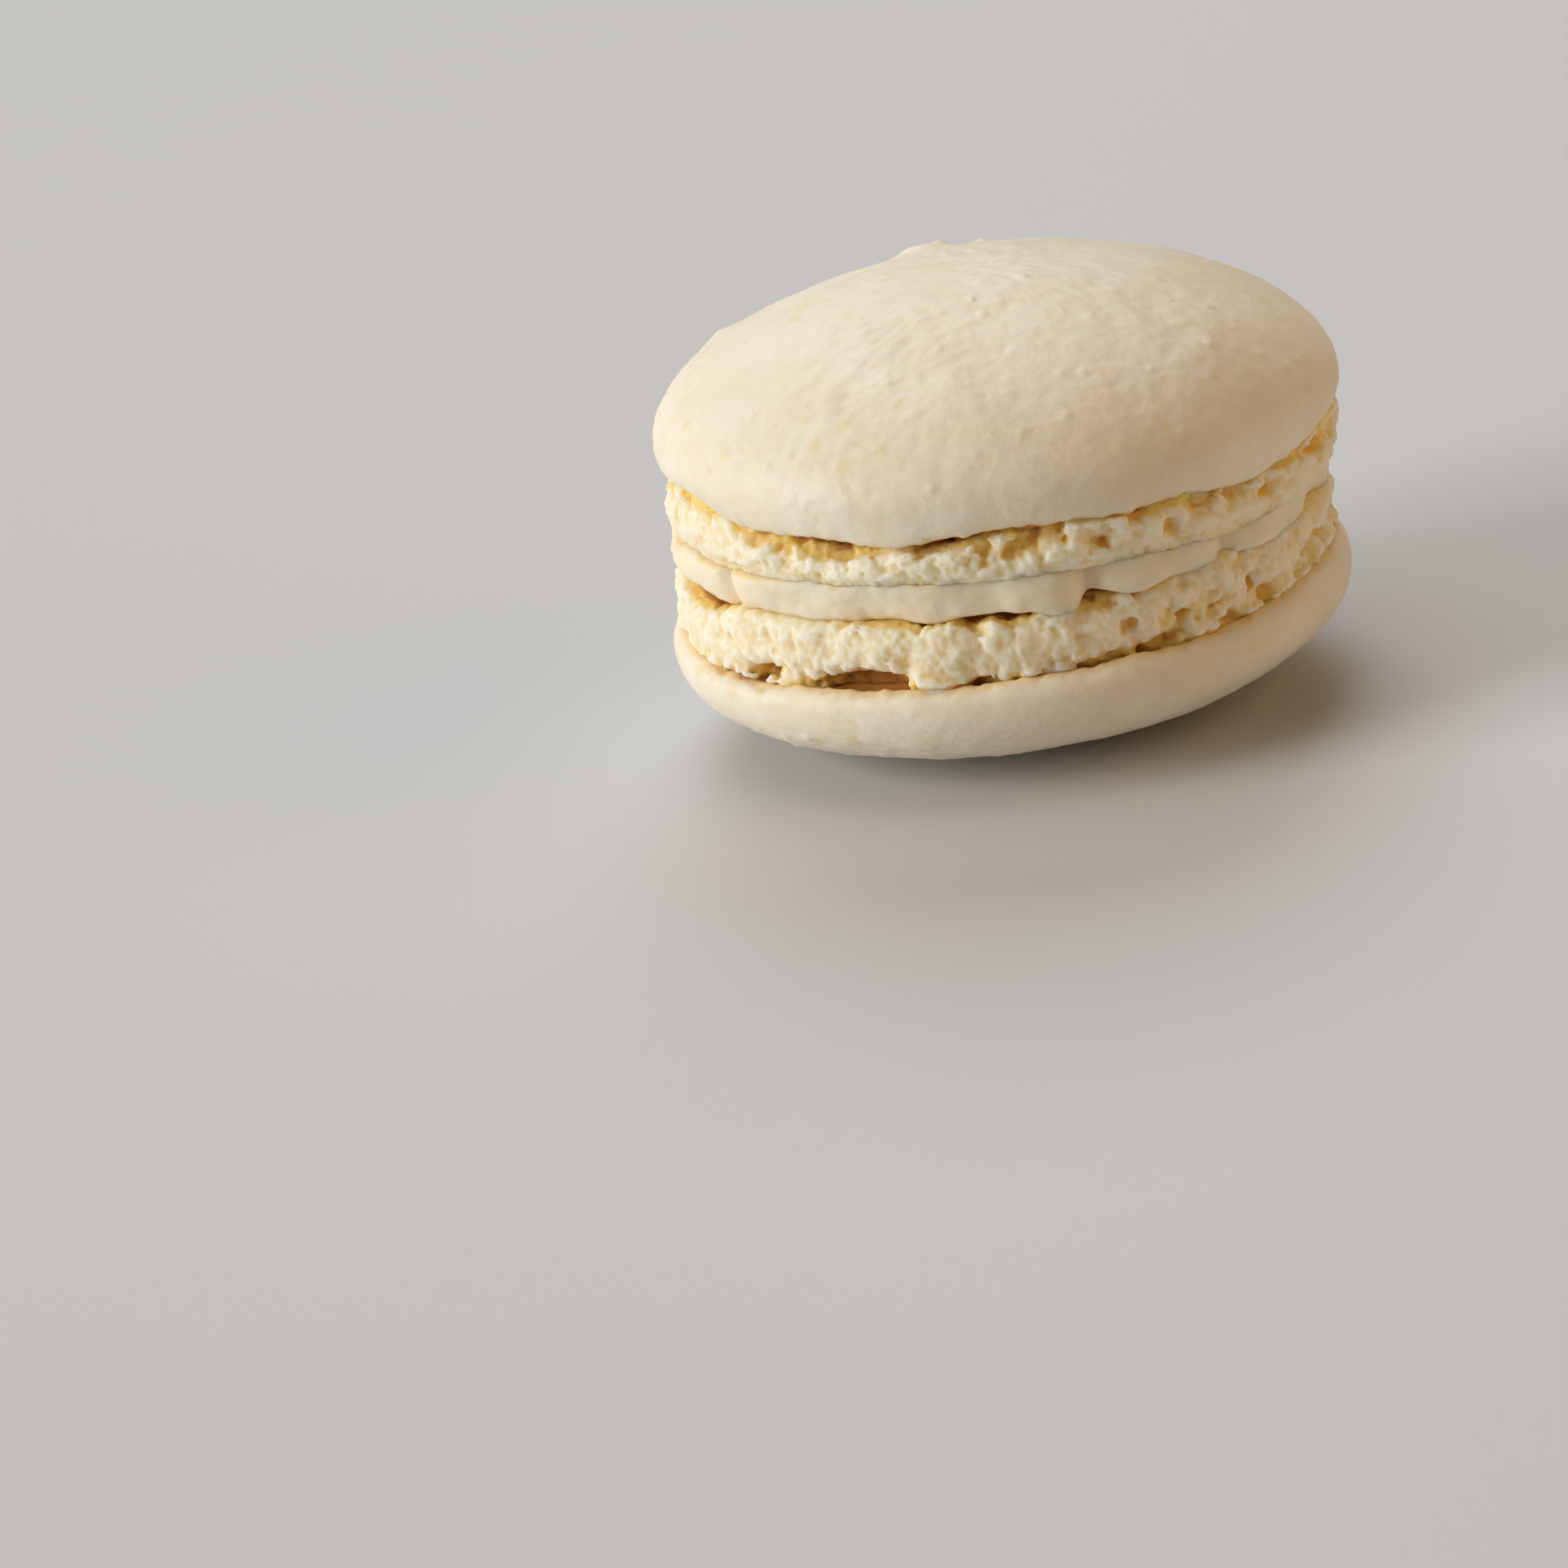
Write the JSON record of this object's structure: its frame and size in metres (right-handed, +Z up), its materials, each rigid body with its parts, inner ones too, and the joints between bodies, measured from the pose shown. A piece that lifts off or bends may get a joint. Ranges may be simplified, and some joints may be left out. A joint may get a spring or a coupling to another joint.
{
  "type": "french macaron",
  "caption": "Round filled macaron: smooth domed almond-meringue shells with ruffled feet, held together by a disc of vanilla buttercream.",
  "frame": {"origin": "on the table, under the middle of the macaron, at the lower shell's crown", "axes": "+Z up from the lower shell through the filling to the upper shell; -Y is the front"},
  "size_m": [0.0504, 0.0496, 0.0324],
  "materials": {
    "shell": "dry, matte ivory meringue skin with an open, craggy crumb at the foot",
    "cream": "smooth satin off-white buttercream"
  },
  "bodies": {
    "root": {"shell_lower": "shell", "filling": "cream", "shell_upper": "shell"}
  },
  "joints": []
}
